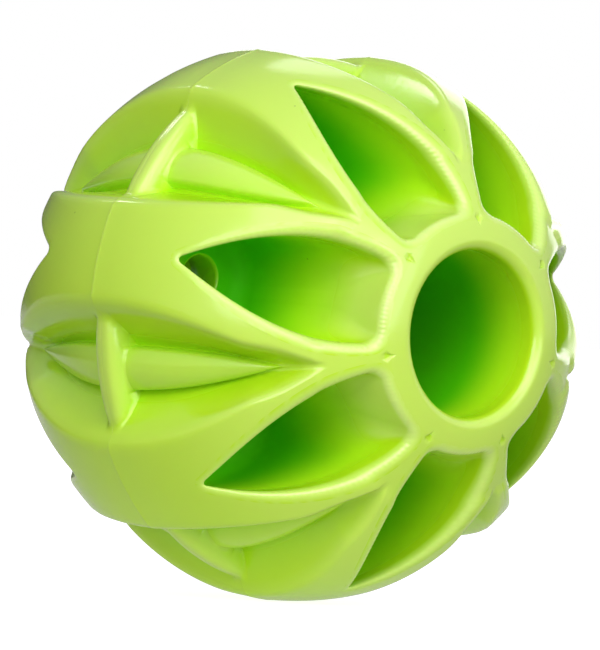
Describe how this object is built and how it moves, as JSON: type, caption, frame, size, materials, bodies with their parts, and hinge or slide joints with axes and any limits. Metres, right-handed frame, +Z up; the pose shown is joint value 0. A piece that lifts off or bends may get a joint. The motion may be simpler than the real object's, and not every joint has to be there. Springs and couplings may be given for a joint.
{
  "type": "rubber chew ball",
  "caption": "Round lime-green rubber chew ball with an open bore, deep teardrop pockets round each end and tread recesses round the middle, each with a leaf ridge and a crossbar.",
  "frame": {"origin": "centre of the ball", "axes": "Y along the bore, with the end that the picture shows facing -Y; +Z up, through the middle of a tread recess"},
  "size_m": [0.0748, 0.0696, 0.0737],
  "materials": {
    "rubber": "satin moulded lime green"
  },
  "bodies": {
    "root": {"front_half": "rubber", "rear_half": "rubber"}
  },
  "joints": []
}
